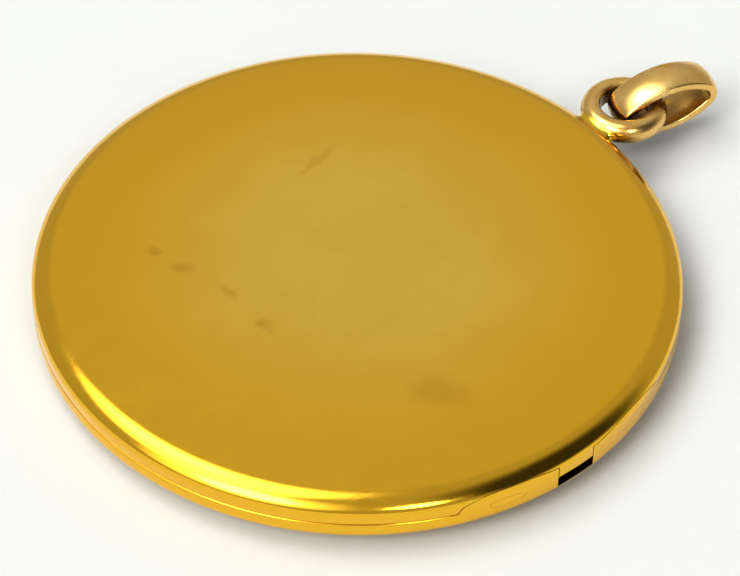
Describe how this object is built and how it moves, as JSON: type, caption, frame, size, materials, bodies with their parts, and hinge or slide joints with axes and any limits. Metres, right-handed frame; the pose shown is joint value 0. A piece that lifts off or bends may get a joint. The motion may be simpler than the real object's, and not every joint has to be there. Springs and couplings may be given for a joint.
{
  "type": "locket",
  "caption": "Round polished gold locket with domed covers, a flush side hinge, snap-in picture frames under glass, and an oval bail through a ring at the top.",
  "frame": {"origin": "centre of the small flat in the middle of the front cover's outside, on which the closed locket lies", "axes": "+Z out through the back cover, +Y towards the bail, +X towards the hinge"},
  "size_m": [0.033, 0.0403, 0.0043],
  "materials": {
    "cover_gold": "satin polished yellow gold",
    "hinge_gold": "polished yellow gold, filed flush",
    "inner_gold": "polished yellow gold",
    "link_gold": "polished rose-yellow gold",
    "solder_gold": "gold solder",
    "pin_steel": "drawn wire",
    "picture_glass": "clear",
    "picture_card": "plain card",
    "backing_card": "plain board"
  },
  "bodies": {
    "front_half": {"front_cover": "cover_gold", "front_hinge_bearer": "inner_gold", "front_frame_seat": "inner_gold", "front_picture_frame": "inner_gold", "front_glass": "picture_glass", "front_picture_card": "picture_card", "front_backing_card": "backing_card", "front_knuckle_bail_end": "hinge_gold", "front_knuckle_far_end": "hinge_gold", "hinge_plug_bail_end": "hinge_gold", "hinge_plug_far_end": "hinge_gold", "hinge_pin": "pin_steel", "closing_collar": "inner_gold", "catch_ridge": "inner_gold"},
    "back_half": {"back_cover": "cover_gold", "back_hinge_bearer": "inner_gold", "back_frame_seat": "inner_gold", "back_picture_frame": "inner_gold", "back_glass": "picture_glass", "back_picture_card": "picture_card", "back_backing_card": "backing_card", "back_knuckle": "hinge_gold", "eye_ring": "link_gold", "eye_saddle": "solder_gold"},
    "bail": {"bail": "link_gold"}
  },
  "joints": [
    {"name": "cover_hinge", "type": "hinge", "parent": "front_half", "child": "back_half", "pos_m": [0.01592, 0, 0.00195], "axis": [0, 1, 0], "range_deg": [0, 90]},
    {"name": "bail_swing", "type": "hinge", "parent": "back_half", "child": "bail", "pos_m": [0.00051, 0.0203, 0.00263], "axis": [0.9537, -0.3007, 0], "range_deg": [-90, 130]}
  ]
}
